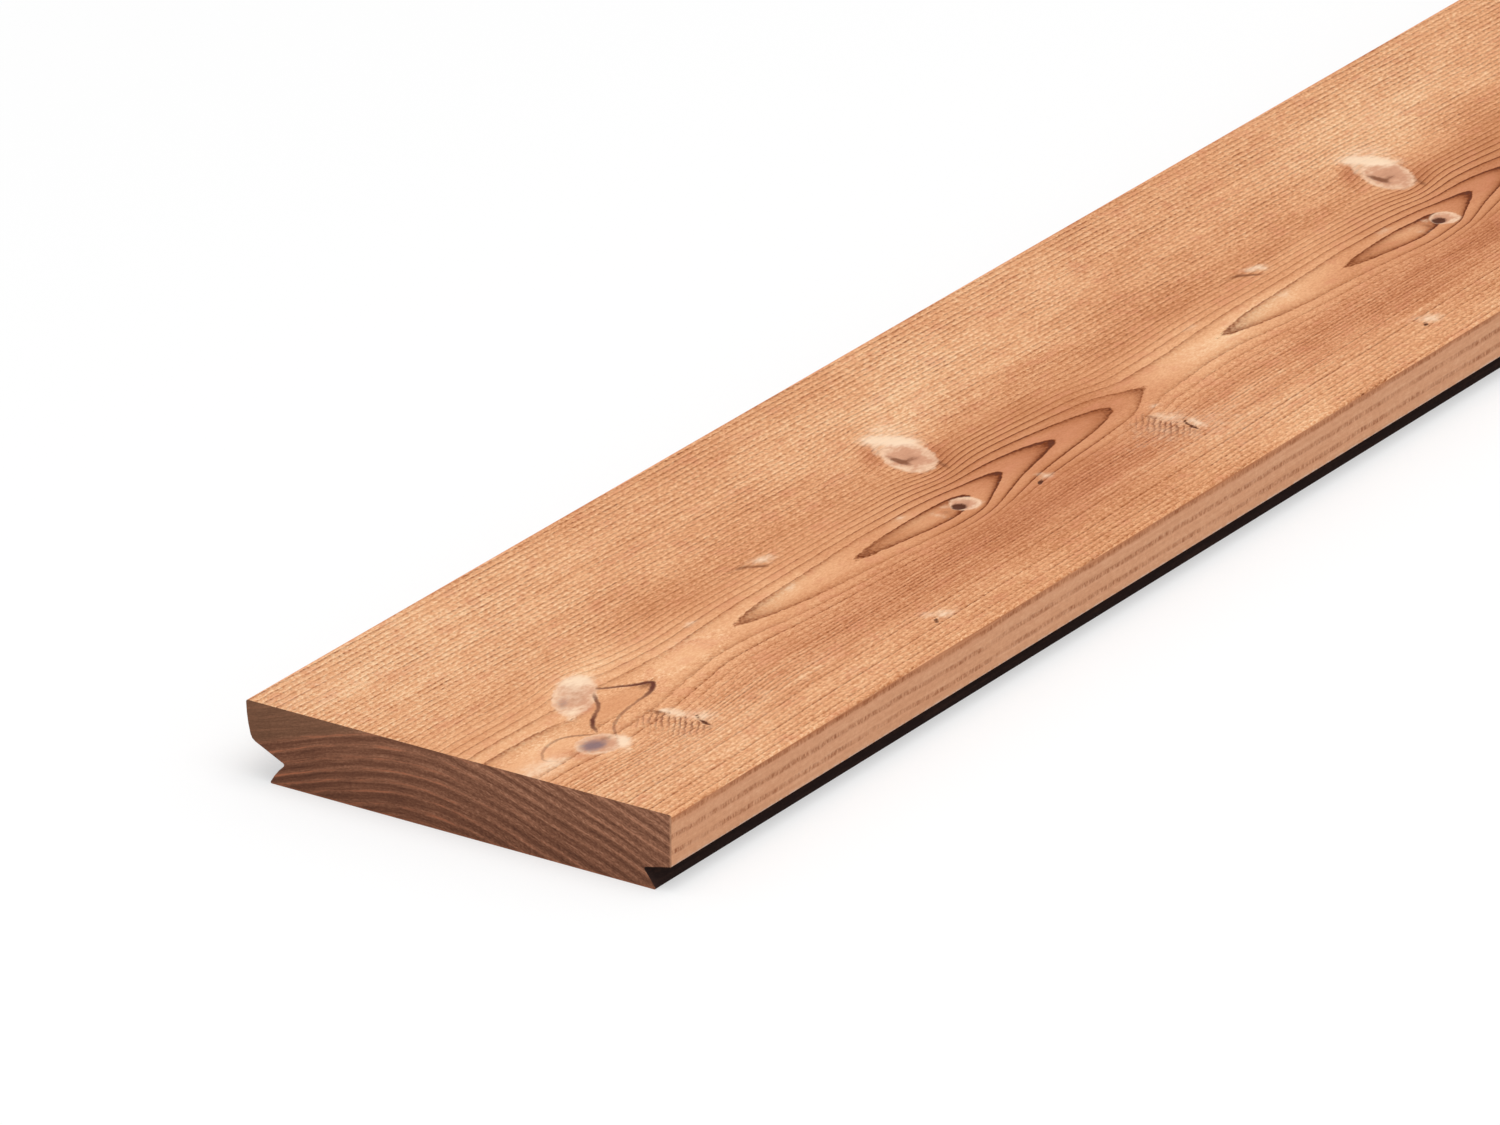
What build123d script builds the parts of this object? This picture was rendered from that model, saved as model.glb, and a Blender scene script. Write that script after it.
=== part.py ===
# Softwood decking board: one planed plank, with a groove for hidden fixing clips moulded along each long edge.
# Millimetres. X runs across the board, Y along it and Z up, and the origin is the middle of the underside.
import os

from build123d import *

os.makedirs("parts", exist_ok=True)

# Plank
board_length = 1800.0
board_width = 145.0
board_thickness = 24.0
top_arris_radius = 0.7  # eased long edges of the walking face

# Right edge: an upright side, then a groove with an almost level roof, above a tapered lip
right_groove_depth = 9.6  # from the side in to the bottom of the groove
right_groove_fall = 2.2  # how far the roof drops from the groove's mouth to its bottom
right_lip_height = 6.0  # from the underside up to the bottom of the groove
right_lip_inset = 5.0  # from the side in to the tip of the lip

# Left edge: a side that curves in, a rounded shoulder and a steeper roof, above a crowned lip
left_side_lean = 1.8  # how far the side has curved in by the shoulder
left_shoulder_radius = 3.0
left_groove_depth = 13.4
left_groove_fall = 5.4
left_lip_height = 6.8
left_lip_inset = 7.9
left_lip_crown = 0.45  # how far the lip's upper face stands proud of a straight line

# Small radii that both edges share
groove_nose_radius = 0.6  # nose of the moulding cutter, at the bottom of each groove
edge_easing = 0.4  # mouth of the right groove and the tips of both lips

# Corners of the section, seen from the front end
right_side = board_width / 2
left_side = -board_width / 2
top_right = (right_side, board_thickness)
top_left = (left_side, board_thickness)

right_mouth = (right_side, right_lip_height + right_groove_fall)
right_groove = (right_side - right_groove_depth, right_lip_height)
right_lip_tip = (right_side - right_lip_inset, 0)

left_shoulder = (left_side + left_side_lean, left_lip_height + left_groove_fall)
left_groove = (left_side + left_groove_depth, left_lip_height)
left_lip_tip = (left_side + left_lip_inset, 0)

roundings = [
    (top_right, top_arris_radius),
    (top_left, top_arris_radius),
    (right_mouth, edge_easing),
    (right_groove, groove_nose_radius),
    (right_lip_tip, edge_easing),
    (left_lip_tip, edge_easing),
    (left_groove, groove_nose_radius),
    (left_shoulder, left_shoulder_radius),
]

# The plank: its moulded section, run along the whole length
with BuildPart() as decking_board:
    with BuildSketch(Plane.XZ) as section:
        with BuildLine():
            Polyline(top_left, top_right, right_mouth, right_groove, right_lip_tip, left_lip_tip)
            SagittaArc(left_lip_tip, left_groove, left_lip_crown)
            Line(left_groove, left_shoulder)
            TangentArc(top_left, left_shoulder, tangent=(0, -1))
        make_face()
        for corner, radius in roundings:
            fillet(section.vertices().sort_by_distance(corner)[0], radius)
    extrude(amount=board_length / 2, both=True)

decking_board.part.label = "decking_board"
export_step(decking_board.part, "parts/decking_board.step")
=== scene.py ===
# Looks of the softwood decking board: planed face with figure and knots, edges, clip grooves and ends.
# Places on the board are in millimetres: along from the front end, across from the left edge.
import math
from collections import namedtuple

import bpy
import numpy as np
from mathutils import Matrix, Vector
from mathutils.geometry import delaunay_2d_cdt


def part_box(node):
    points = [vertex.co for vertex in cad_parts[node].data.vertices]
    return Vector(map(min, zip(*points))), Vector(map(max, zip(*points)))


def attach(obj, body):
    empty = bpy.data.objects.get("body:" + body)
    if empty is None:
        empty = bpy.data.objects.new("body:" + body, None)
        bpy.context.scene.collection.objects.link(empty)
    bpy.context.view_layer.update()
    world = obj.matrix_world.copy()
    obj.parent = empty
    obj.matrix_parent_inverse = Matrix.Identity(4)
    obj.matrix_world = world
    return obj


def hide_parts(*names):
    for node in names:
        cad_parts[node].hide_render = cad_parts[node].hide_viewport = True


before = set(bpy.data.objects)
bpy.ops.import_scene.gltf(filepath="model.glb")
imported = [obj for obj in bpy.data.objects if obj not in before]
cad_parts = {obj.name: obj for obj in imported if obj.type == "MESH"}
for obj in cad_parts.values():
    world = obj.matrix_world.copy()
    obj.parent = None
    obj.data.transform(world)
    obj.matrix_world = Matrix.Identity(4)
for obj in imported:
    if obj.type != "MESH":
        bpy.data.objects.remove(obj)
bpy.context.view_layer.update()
low_corner, high_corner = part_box("decking_board")

MM = 0.001
# Lengths in mm that differ by less than this count as equal
TOLERANCE = 0.001
LENGTH = (high_corner.y - low_corner.y) / MM
WIDTH = (high_corner.x - low_corner.x) / MM
THICKNESS = (high_corner.z - low_corner.z) / MM
LEFT = low_corner.x / MM
FRONT = low_corner.y / MM

# Camera, fitted to the photograph's 1500 x 1125 frame
PICTURE_SIZE = (1500.0, 1125.0)
CAMERA_AZIMUTH = 33.657
CAMERA_ELEVATION = 23.205
FOCAL_PIXELS = 14501.0
SENSOR_WIDTH = 36.0
NEAR_CORNER_PIXEL = (671.4, 815.6)
NEAR_CORNER_DISTANCE = 4027.0
CLIP_END = 100.0

# Light: a plain level at which a colour renders about as it is written
WORLD_LEVEL = 0.55
KEY_POWER = 120.0
KEY_SIZE = 4.0
KEY_PLACE = (1.2, -1.0, 4.0)
FLOOR_SIZE = 30.0
FLOOR_GLOW = 0.5
FLOOR_CLEARANCE = 0.1

# Zones of the section, each with its own finish
TOP, RIGHT, RIGHT_GROOVE, UNDERSIDE, LEFT_GROOVE, LEFT_SIDE = range(6)
ARRIS_DEPTH = 0.71
RIGHT_MOUTH = 8.0
LEFT_MOUTH = 11.0
UNDERSIDE_SKIN = 0.01
PLANED, EDGE, GROOVE, END = range(4)
ZONE_FINISH = {
    TOP: PLANED, RIGHT: EDGE, RIGHT_GROOVE: GROOVE,
    UNDERSIDE: PLANED, LEFT_GROOVE: GROOVE, LEFT_SIDE: EDGE,
}

# Mesh steps
LONG_STRAIGHT = 1.0
ROUNDING_STEP = 24.0
TOP_STEPS = [(44.0, 2.4), (112.0, 0.8), (135.0, 1.3), (WIDTH, 2.4)]
ZONE_STEP = {RIGHT: 3.0, RIGHT_GROOVE: 5.0, UNDERSIDE: 10.0, LEFT_GROOVE: 6.0, LEFT_SIDE: 3.4}
KNOT_ROW_STEP = 1.0
FIGURE_ROW_STEP = 4.0
FAR_KNOT_ROW_STEP = 2.8
FAR_ROW_STEP = 9.0
ROW_REACH = 1.2
ROW_MARGIN = 3.0
END_STEP = 1.5
END_CLEARANCE = 0.45 * END_STEP
MERGE_DISTANCE = 1e-5
SHARP_ANGLE = 35.0

# Bake picture in pixels: how many strips each zone takes along the board, and their height
BAKE_SIDE = 1024
BAKE_GAP = 4
BAKE_STRIPS = {
    TOP: (3, 222), RIGHT: (3, 26), UNDERSIDE: (1, 60), LEFT_SIDE: (1, 26),
    RIGHT_GROOVE: (1, 24), LEFT_GROOVE: (1, 28),
}
BAKE_END_HEIGHT = 82

# Figure of the planed face, which repeats along the board
PHOTO_LENGTH = 620.0
FIGURE_PERIOD = 265.0
SPOT_PERIOD = 269.5
RINGS_IN_PERIOD = 3.0
PERIODS = 7
# Repeats past those that the photograph shows are moved and loosened by chance, within limits in mm
REPEATS_SEEN = 2
SECOND_SHIFT = 0.5
MOVES_SEED = 5
MOVES_ALONG = (-26, 26)
MOVES_ACROSS = (-12, 10)
RINGS_SEED = 3
RINGS_LOOSENESS = 7
# Rings along the middle line are read beyond both ends and smoothed, in mm
RING_MARGIN = 60.0
SMOOTH_REACH = 12
SMOOTH_WIDTH = 4.0
# Rings where they cross the middle line: along, ring number and spread
FRONT_RINGS = [
    (-60, 1.5, 1.5), (0, 1.45, 1.5), (37, 1.5, 1.6), (60, 1.75, 1.7), (74, 2.0, 1.5), (98, 2.15, 1.25),
]
PERIOD_RINGS = [
    (119.5, 2.0, 1.35), (134, 1.64, 1.3), (150, 1.34, 1.22), (182, 0.98, 1.16), (221, 0.36, 1.1),
    (239, 1.0, 1.1), (258, 2.0, 1.15), (286.5, 3.0, 1.25), (318.5, 4.0, 1.35), (332, 5.0, 1.3),
    (363, 5.15, 1.3),
]
# The middle line, and how far from it its sway, spread and ring numbers reach
MIDDLE_LINE = 88.5
MIDDLE_REACH = 24.0
MIDDLE_HOLD = 26.0
# Rings bend round a knot, as far as its half sizes times these
KNOT_BEND = 0.45
KNOT_BEND_REACH = (1.4, 1.3)
# Pitch of the rings on each side of the middle line in mm, and humps of it: amount, place, reach, steepness
LEFT_PITCH = 2.42
LEFT_PITCH_HUMPS = [(2.5, 0.0, 8.5, 2), (-0.34, 58.0, 10.0, 2)]
RIGHT_PITCH = 2.05
RIGHT_PITCH_HUMPS = [(-0.62, 22.0, 9.0, 2), (1.1, 0.0, 14.0, 6), (1.5, 0.0, 8.0, 2)]
PITCH_REACH = 100.0
PITCH_STEP = 0.1
# Sways of the middle line in each period: along, shift across, reach along
SWAYS = [(115, -2.2, 34.0), (223, 2.2, 24.0), (272, -1.1, 24.0)]
# Roundness of the vees' tips, in rings
TIP_ROUNDNESS = 0.6
# Strength of the bold lines: away from the vees, at the vees, and what their tips add
VEES_MIDDLE = 256
VEES_REACH = 50
PLAIN_BOLDNESS = 0.7
VEE_BOLDNESS = 1.3
TIP_BOLDNESS = 0.15
TIP_REACH = 0.9
# How many rings are bold to the left of the middle, to its right, and more there at the vees
BOLD_REACH_LEFT = 8.0
BOLD_REACH_RIGHT = 2.2
BOLD_REACH_VEES = 2.3
# Bold lines are fainter near the front end
FRONT_REACH = 75
FRONT_FAINTNESS = 0.45
# Fall of the soft patches, and a distance that counts as far from every spot
PATCH_SOFTNESS = 0.7
FAR_AWAY = 30.0

# Spots on the planed face: ellipses with a place, half sizes and a tilt in degrees
Spot = namedtuple("Spot", "along across long short tilt")
FRONT_KNOTS = [Spot(53.4, 75.9, 14.2, 6.4, -27), Spot(29.6, 100.8, 8.3, 6.3, 12)]
FRONT_CORES = [
    Spot(58.9, 116.8, 3.1, 0.8, -69), Spot(61.2, 112.6, 1.5, 0.7, -30), Spot(318.7, 116.4, 3.3, 0.8, -68),
    Spot(320.4, 112.6, 1.8, 0.7, -40),
]
PERIOD_KNOTS = [Spot(252, 59.5, 12.4, 8.0, -53), Spot(231.8, 92.2, 5.3, 4.7, 0)]
PERIOD_CORES = [
    Spot(229.3, 91.8, 2.7, 2.4, 0), Spot(258.2, 101.5, 2.4, 0.8, -22), Spot(155.6, 131.7, 2.2, 0.8, -38),
]
# Soft patches: a spot's values, then how much paler, slatier, browner, lighter or redder the face is there
FRONT_HALOS = [
    (62.5, 70.5, 5.2, 3.4, 12, 0.8), (42, 82.8, 4.2, 2.0, -20, 0.6), (35, 105.4, 3.6, 1.6, -35, 1.0),
    (13, 97.2, 4.0, 2.4, 12, 0.42), (4, 96, 8, 4.6, 0, 0.52), (54, 75.5, 8, 4.6, -27, 0.44),
    (59.2, 102.4, 1.5, 1.1, 0, 0.6), (59.4, 106.4, 2.4, 3.2, 0, 0.56), (62, 113.6, 3.2, 3.0, 0, 0.42),
    (320.4, 107, 2.6, 4.2, 0, 0.28), (318.8, 103, 2.6, 1.6, 0, 0.2), (321.6, 115.6, 3.0, 1.1, -70, 0.5),
    (325, 98.4, 1.8, 1.0, 0, 0.4), (312, 108, 13, 9, 0, 0.2), (50, 122, 60, 18, 0, 0.2),
    (325, 124, 34, 16, 0, 0.22), (14, 12, 30, 14, 0, 0.22),
]
PERIOD_HALOS = [
    (259.4, 49.5, 6.6, 2.9, 62, 1.05), (255.5, 43, 3.6, 2.8, 0, 0.36), (266, 46, 8, 8, 0, 0.3),
    (250.4, 49.2, 4.2, 1.2, -40, 0.55), (162, 64.6, 3.6, 1.8, 10, 0.4), (165.8, 66.8, 3.0, 2.4, 0, 0.62),
    (160.5, 131, 3.4, 2.5, 0, 0.68), (156.6, 127, 2.6, 1.8, 0, 0.34), (263, 100.8, 2.4, 1.3, 0, 0.6),
    (262.3, 98.3, 1.6, 1.2, 0, 0.45), (114, 74.5, 3.4, 1.2, 0, 0.5), (152, 84, 4, 1.4, -10, 0.45),
    (212, 82.4, 2.6, 1.6, 0, 0.55), (219.5, 91.5, 2.2, 3.6, 0, 0.4), (233, 95.6, 3.4, 1.2, 0, 0.5),
    (226.3, 88.6, 1.6, 1.2, 0, 0.5), (243.8, 60, 1.4, 2.6, 0, 0.45), (264, 40, 5, 3.4, 0, 0.22),
]
FRONT_SLATES = [(27.6, 100.0, 4.6, 3.0, 0, 1.0), (47.4, 76.2, 4.6, 2.2, -30, 0.48)]
FRONT_SMUDGES = [
    (71.6, 88.5, 3.2, 1.6, 0, 0.85), (45.8, 76.6, 3.4, 1.5, -35, 0.42), (34.2, 100.0, 2.4, 1.2, 10, 0.6),
    (57.2, 101.7, 2.2, 0.9, 84, 1.0), (56.4, 119.2, 1.8, 0.9, 0, 0.6), (317.6, 102.2, 2.6, 0.9, 84, 0.75),
    (316.2, 119.1, 1.8, 0.9, 0, 0.6),
]
PERIOD_SMUDGES = [
    (247.8, 58.8, 4.0, 1.15, -80, 1.3), (250.8, 61, 2.6, 1.3, 10, 0.7), (253, 70.8, 3.6, 1.0, -62, 0.8),
    (154, 64, 5, 0.8, 8, 0.5), (158.4, 66.6, 3.2, 0.9, 40, 0.85), (160.8, 69.3, 1.6, 0.7, 50, 0.6),
    (223.4, 91.2, 1.6, 2.0, 0, 0.55),
]
FRONT_SHADES = [
    (50, 20, 85, 28, 0, 0.2), (97, 86, 28, 9, 0, 0.15), (70, 68, 18, 8, 0, 0.16),
    (40, 126, 65, 24, 0, 0.1), (14, 85, 18, 8, 0, 0.18), (58, 88, 12, 4, 0, -0.14),
]
PERIOD_SHADES = [
    (134, 61, 34, 9, 0, -0.17), (270, 86, 52, 8, 0, -0.17), (300, 72, 42, 11, 0, -0.2),
    (372, 86, 32, 8, 0, 0.26), (150, 130, 26, 6, 0, 0.05), (246.5, 49.5, 7.5, 2.6, -38, -0.34),
    (205, 60, 40, 20, 0, -0.06), (275, 50, 16, 8, 0, 0.1), (147, 85, 18, 4, 0, 0.16),
    (200, 111, 80, 13, 0, -0.2), (214, 87.5, 10, 3, 4, 0.2), (340, 132, 40, 10, 0, 0.12),
    (265, 108, 40, 8, 0, -0.16), (262, 132, 34, 9, 0, -0.16), (345, 14, 70, 16, 0, 0.12),
    (285, 34, 50, 15, 0, 0.18), (322, 86, 16, 6, 0, -0.1), (230, 34, 60, 16, 0, 0.04),
    (258, 66, 7, 4, -30, -0.2), (305, 54, 34, 11, 0, -0.06),
]
FRONT_REDS = [(20, 100.5, 2.2, 4.4, 0, 0.8), (47.6, 84.4, 3.4, 1.1, -8, 1.8)]
PERIOD_REDS = [
    (205, 111, 100, 12, 0, 0.45), (270, 115, 36, 9, 0, 0.4), (275, 88, 50, 7, 0, 0.9),
    (246.5, 49.5, 7.5, 2.6, -38, 0.6), (258, 66, 7, 4, -30, 0.5),
]
# Soft patches by field: those at the front, and those in each period
PATCHES = {
    "halo": (FRONT_HALOS, PERIOD_HALOS), "slate": (FRONT_SLATES, []),
    "smudge": (FRONT_SMUDGES, PERIOD_SMUDGES), "shade": (FRONT_SHADES, PERIOD_SHADES),
    "red": (FRONT_REDS, PERIOD_REDS),
}
# Torn grain: the front of each torn patch, its middle across, its reach along and its half width
TORN_PATCHES = [(57.5, 109.5, 15.0, 10.5), (317.5, 109.5, 14.0, 10.0)]
# Waves of its ragged front, as height and turn for each mm across, and its strokes' pitch and slant
RAGGED_WAVES = [(0.9, 1.1), (0.6, 2.3)]
COMB_PITCH = 2.0
COMB_SLANT = 0.3
# Clear wood without ring lines
LEAVES = [Spot(55, 89, 20, 6.5, 0), Spot(8, 92, 36, 6.5, 0), Spot(95, 86.5, 19, 5.6, 0)]
# The dark check between the two front knots and round the arrowhead behind them: along, across, darkness
CHECK = [
    (13, 97, 0.1), (11.6, 94.2, 0.3), (14.5, 91.4, 0.4), (20, 89.3, 0.44), (26, 89.3, 0.5),
    (30, 91.4, 0.55), (33.2, 94.6, 0.5), (35, 96.2, 0.15), (36.5, 95.0, 0.5), (38.5, 92.6, 0.85),
    (42, 90, 1.0), (46, 88.1, 0.8), (50, 86.5, 0.7), (53, 84.2, 0.8), (56, 81.2, 0.75), (58.5, 79.2, 0.1),
    (60.4, 78.6, 0.1), (61.6, 78.6, 0.7), (63, 80, 0.8), (66, 82.6, 0.85), (70, 86, 1.0), (74, 88.5, 1.0),
    (70.5, 91.0, 1.0), (66, 92.3, 0.8), (58, 93.0, 0.5), (52, 93.8, 0.55), (45, 95.6, 0.5), (41, 98, 0.5),
    (38, 100.4, 0.35),
]
CHECK_CURVE_STEPS = 5
CHECK_HALF_WIDTH = 0.8
# Depths of the relief in mm, and how far in from the long edges it sets in
RING_RELIEF = 0.05
KNOT_RELIEF = 0.05
CHECK_RELIEF = 0.25
CORE_RELIEF = 0.5
TORN_RELIEF = 0.22
RELIEF_EASING = 3.0
# Start of the ring count, shade of the whole face, and width of the warm left arris in mm
RING_START = 40.0
FACE_SHADE = 0.095
ARRIS_WARMTH = 1.2
# Fields of the mesh, with their values where there is no figure
FIELD_DEFAULTS = {
    "across": 0.0, "along": 0.0, "line": 0.0, "knot": FAR_AWAY, "core": FAR_AWAY, "halo": 0.0,
    "slate": 0.0, "smudge": 0.0, "check": FAR_AWAY, "ink": 0.0, "torn": 0.0, "shade": 0.5, "red": 0.0,
}

# Figure of the edges: brown bands at a pitch down from the top
EDGE_BAND_DEPTH = 6.8
EDGE_BAND_PITCH = 5.0

# Figure of the sawn ends: rings in a flat arch, straightening to a slope on both sides
END_APEX = 59.0
END_ARCH = 26.0
END_SLOPE = 0.36
END_RING_PITCH = 3.46
END_RING_START = 3.0
# Ring height above which the upper left corner is plain
END_PLAIN_HEIGHT = 24.0
# Shade of the ends, and its change for each mm up and across
END_SHADE = 0.41
END_LIFT = 0.009
END_FALL = 0.0011

# Roughness, gloss and depth of the bump in mm of each finish
FACE_ROUGHNESS = 0.68
EDGE_ROUGHNESS = 0.7
GROOVE_ROUGHNESS = 0.82
END_ROUGHNESS = 0.8
FLOOR_ROUGHNESS = 0.9
ROUGHNESS_SPREAD = 0.2
FACE_GLOSS = 0.12
GROOVE_GLOSS = 0.08
END_GLOSS = 0.1
FACE_BUMP = 0.06
GROOVE_BUMP = 0.05
END_BUMP = 0.1


def srgb(red, green, blue):
    """Linear colour, with alpha, of an 8-bit screen colour."""
    channels = [c / 255.0 for c in (red, green, blue)]
    linear = [c / 12.92 if c <= 0.04045 else ((c + 0.055) / 1.055) ** 2.4 for c in channels]
    return (*linear, 1.0)


# Colours, and scales of colour as (position, colour)
FACE_COLOURS = [
    (0.0, srgb(158, 92, 50)), (0.25, srgb(190, 122, 78)), (0.5, srgb(217, 152, 107)),
    (0.75, srgb(236, 178, 132)), (1.0, srgb(249, 209, 166)),
]
LINE_COLOURS = [(0.0, srgb(158, 84, 4)), (0.5, srgb(132, 60, 2)), (1.0, srgb(92, 36, 2))]
KNOT_COLOURS = [
    (0.0, srgb(196, 142, 112)), (0.56, srgb(212, 158, 127)),
    (0.8, srgb(228, 184, 152)), (1.0, srgb(242, 203, 170)),
]
EDGE_COLOURS = [(0.0, srgb(174, 116, 80)), (0.5, srgb(206, 150, 113)), (1.0, srgb(230, 184, 150))]
# The grooves' near-black colours are painted shade, the same in both grooves
GROOVE_PAINTED_SHADE_COLOURS = [(0.0, srgb(38, 26, 23)), (0.5, srgb(50, 35, 32)), (1.0, srgb(72, 50, 42))]
# Colours of the ends: end grain is darker than the faces, and these are darker still as painted shade, on
# both ends alike
END_GRAIN_AND_SHADE_COLOURS = [
    (0.0, srgb(82, 50, 37)), (0.4, srgb(114, 73, 54)), (0.7, srgb(141, 95, 72)), (1.0, srgb(180, 130, 102)),
]
TINT_COLOUR = srgb(218, 142, 108)
RED_COLOUR = srgb(197, 123, 91)
HALO_COLOUR = srgb(250, 221, 190)
SLATE_COLOUR = srgb(114, 97, 108)
SMUDGE_COLOUR = srgb(112, 58, 26)
CORE_COLOUR = srgb(74, 28, 4)
ARRIS_COLOUR = srgb(230, 122, 76)
CHECK_COLOUR = srgb(98, 48, 32)
TORN_COLOUR = srgb(124, 70, 42)
EDGE_CREST_COLOUR = srgb(172, 104, 62)
EDGE_BAND_COLOUR = srgb(140, 78, 44)
EDGE_HEM_COLOUR = srgb(206, 186, 172)
END_PLAIN_COLOUR = srgb(112, 84, 62)
END_LINE_COLOUR = srgb(172, 104, 74)
END_FOOT_COLOUR = srgb(176, 108, 74)
# Painted highlight along the eased right edge of the ends
END_EDGE_HIGHLIGHT_COLOUR = srgb(206, 154, 118)
FLOOR_COLOUR = srgb(252, 252, 252)
WHITE = (1, 1, 1, 1)


# Section and rows of the mesh


def section_outline(node):
    """Section of the CAD board in mm as (x, z) points, clockwise from the left end of the top face."""
    points = [tuple(np.round(np.array(vertex.co) / MM, 4)) for vertex in node.data.vertices]
    uses = {}
    for face in node.data.polygons:
        corners = [points[i] for i in face.vertices]
        if all(abs(corner[1] - FRONT) < TOLERANCE for corner in corners):
            for start, end in zip(corners, corners[1:] + corners[:1]):
                uses.setdefault(frozenset((start, end)), []).append((start, end))
    following = {edges[0][0]: edges[0][1] for edges in uses.values() if len(edges) == 1}
    top_left = min(following, key=lambda p: (round(THICKNESS - p[2], 3), p[0]))
    loop = [top_left]
    while following[loop[-1]] != top_left:
        loop.append(following[loop[-1]])
    outline = [(p[0], p[2]) for p in loop]
    if outline[1][0] < outline[-1][0]:
        outline = outline[:1] + outline[:0:-1]
    return outline


def thinned(outline):
    """The outline with its long straights whole and fewer points on the small roundings."""
    kept = []
    turned = 0.0
    for i, point in enumerate(outline):
        before = np.subtract(point, outline[i - 1])
        after = np.subtract(outline[(i + 1) % len(outline)], point)
        turn = math.atan2(before[0] * after[1] - before[1] * after[0], before @ after)
        turned += abs(math.degrees(turn))
        if max(np.hypot(*before), np.hypot(*after)) > LONG_STRAIGHT or turned > ROUNDING_STEP:
            kept.append(point)
            turned = 0.0
    return kept


def zone_of(x, z):
    """The zone of the section that a point on its outline belongs to."""
    if z > THICKNESS - ARRIS_DEPTH:
        return TOP
    if z < UNDERSIDE_SKIN:
        return UNDERSIDE
    if x > 0:
        return RIGHT if z > RIGHT_MOUTH else RIGHT_GROOVE
    return LEFT_SIDE if z > LEFT_MOUTH else LEFT_GROOVE


def top_columns(start, end):
    """Places across the top face, close together where it is figured."""
    runs = []
    for border, step in TOP_STEPS:
        stop = min(border + LEFT, end)
        runs.append(np.linspace(start, stop, math.ceil((stop - start) / step), endpoint=False))
        start = stop
    return np.concatenate(runs)


def divided(outline):
    """The outline with its straights divided, and the zone of the stretch after each point."""
    points = []
    zones = []
    for start, end in zip(outline, outline[1:] + outline[:1]):
        zone = zone_of((start[0] + end[0]) / 2, (start[1] + end[1]) / 2)
        span = math.dist(start, end)
        if zone == TOP and span > WIDTH / 2:
            shares = (top_columns(start[0], end[0]) - start[0]) / (end[0] - start[0])
        else:
            count = math.ceil(span / ZONE_STEP.get(zone, span))
            shares = np.arange(count) / count
        for share in shares:
            points.append((start[0] + (end[0] - start[0]) * share, start[1] + (end[1] - start[1]) * share))
            zones.append(zone)
    left_arris = len(zones) - 1 - max(i for i, zone in enumerate(zones) if zone != TOP)
    return np.roll(points, left_arris, axis=0), np.roll(zones, left_arris)


def row_stations(spots):
    """Places of the mesh rows along the board: close together at the knots, wider past the photograph."""
    fine = np.linspace(0.0, LENGTH, int(LENGTH) * 2 + 1)
    near = fine < PHOTO_LENGTH
    step = np.where(near, FIGURE_ROW_STEP, FAR_ROW_STEP)
    for spot in spots:
        beside = np.abs(fine - spot.along) < ROW_REACH * spot.long + ROW_MARGIN
        step = np.where(beside, np.where(near, KNOT_ROW_STEP, FAR_KNOT_ROW_STEP), step)
    count = np.concatenate([[0.0], np.cumsum(np.diff(fine) / step[1:])])
    rows = np.interp(np.linspace(0.0, count[-1], int(count[-1]) + 1), count, fine)
    strips = max(count for count, _ in BAKE_STRIPS.values())
    for border in LENGTH * np.arange(1, strips) / strips:
        rows[np.argmin(np.abs(rows - border))] = border
    return rows


# Figure of the planed face


def period_moves():
    """Shift along and across of each repeat of the figure: the first two as seen, the others by chance."""
    chance = np.random.default_rng(MOVES_SEED)
    moves = [(0.0, 0.0), (SPOT_PERIOD, SECOND_SHIFT)]
    for period in range(REPEATS_SEEN, PERIODS):
        along = SPOT_PERIOD * period + chance.uniform(*MOVES_ALONG)
        moves.append((along, chance.uniform(*MOVES_ACROSS)))
    return moves


def repeated(front, spots):
    """The front spots, and the others once for each period."""
    moves = period_moves()
    moved = [s._replace(along=s.along + da, across=s.across + dc) for da, dc in moves for s in spots]
    return list(front) + [s for s in moved if s.along < LENGTH + FAR_AWAY]


def repeated_patches(front, patches):
    """Spots and amounts of soft patches, the same way."""
    spots = repeated([Spot(*patch[:-1]) for patch in front], [Spot(*patch[:-1]) for patch in patches])
    amounts = [patch[-1] for patch in front] + [patch[-1] for patch in patches] * PERIODS
    return list(zip(spots, amounts))


def ellipse_distance(along, across, spot):
    """Distance from a spot's middle, 1 on its edge."""
    turn = math.radians(spot.tilt)
    da = along - spot.along
    dc = across - spot.across
    p = da * math.cos(turn) + dc * math.sin(turn)
    q = dc * math.cos(turn) - da * math.sin(turn)
    return np.hypot(p / spot.long, q / spot.short)


def nearest(along, across, spots):
    """The least distance from several spots, 1 on an edge."""
    distance = np.full(along.shape, FAR_AWAY)
    for spot in spots:
        distance = np.minimum(distance, ellipse_distance(along, across, spot))
    return distance


def patch_sum(along, across, patches):
    """Sum of soft patches."""
    total = np.zeros(along.shape)
    for spot, amount in patches:
        total += amount * np.exp(-PATCH_SOFTNESS * ellipse_distance(along, across, spot) ** 2)
    return total


def ring_stations():
    """Ring number and spread along the middle line, on a fine smoothed scale."""
    chance = np.random.default_rng(RINGS_SEED)
    stations = list(FRONT_RINGS)
    for period in range(PERIODS):
        loose = 0.0 if period < REPEATS_SEEN else 1.0
        for along, ring, spread in PERIOD_RINGS:
            shift = loose * chance.uniform(-RINGS_LOOSENESS, RINGS_LOOSENESS)
            place = along + FIGURE_PERIOD * period + shift
            stations.append((place, ring + RINGS_IN_PERIOD * period, spread))
    along, ring, spread = np.array(stations).T
    fine = np.arange(-RING_MARGIN, LENGTH + RING_MARGIN)
    window = np.exp(-0.5 * (np.arange(-SMOOTH_REACH, SMOOTH_REACH + 1) / SMOOTH_WIDTH) ** 2)
    window /= window.sum()
    smooth = [np.convolve(np.interp(fine, along, values), window, mode="same") for values in (ring, spread)]
    return fine, *smooth


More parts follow.
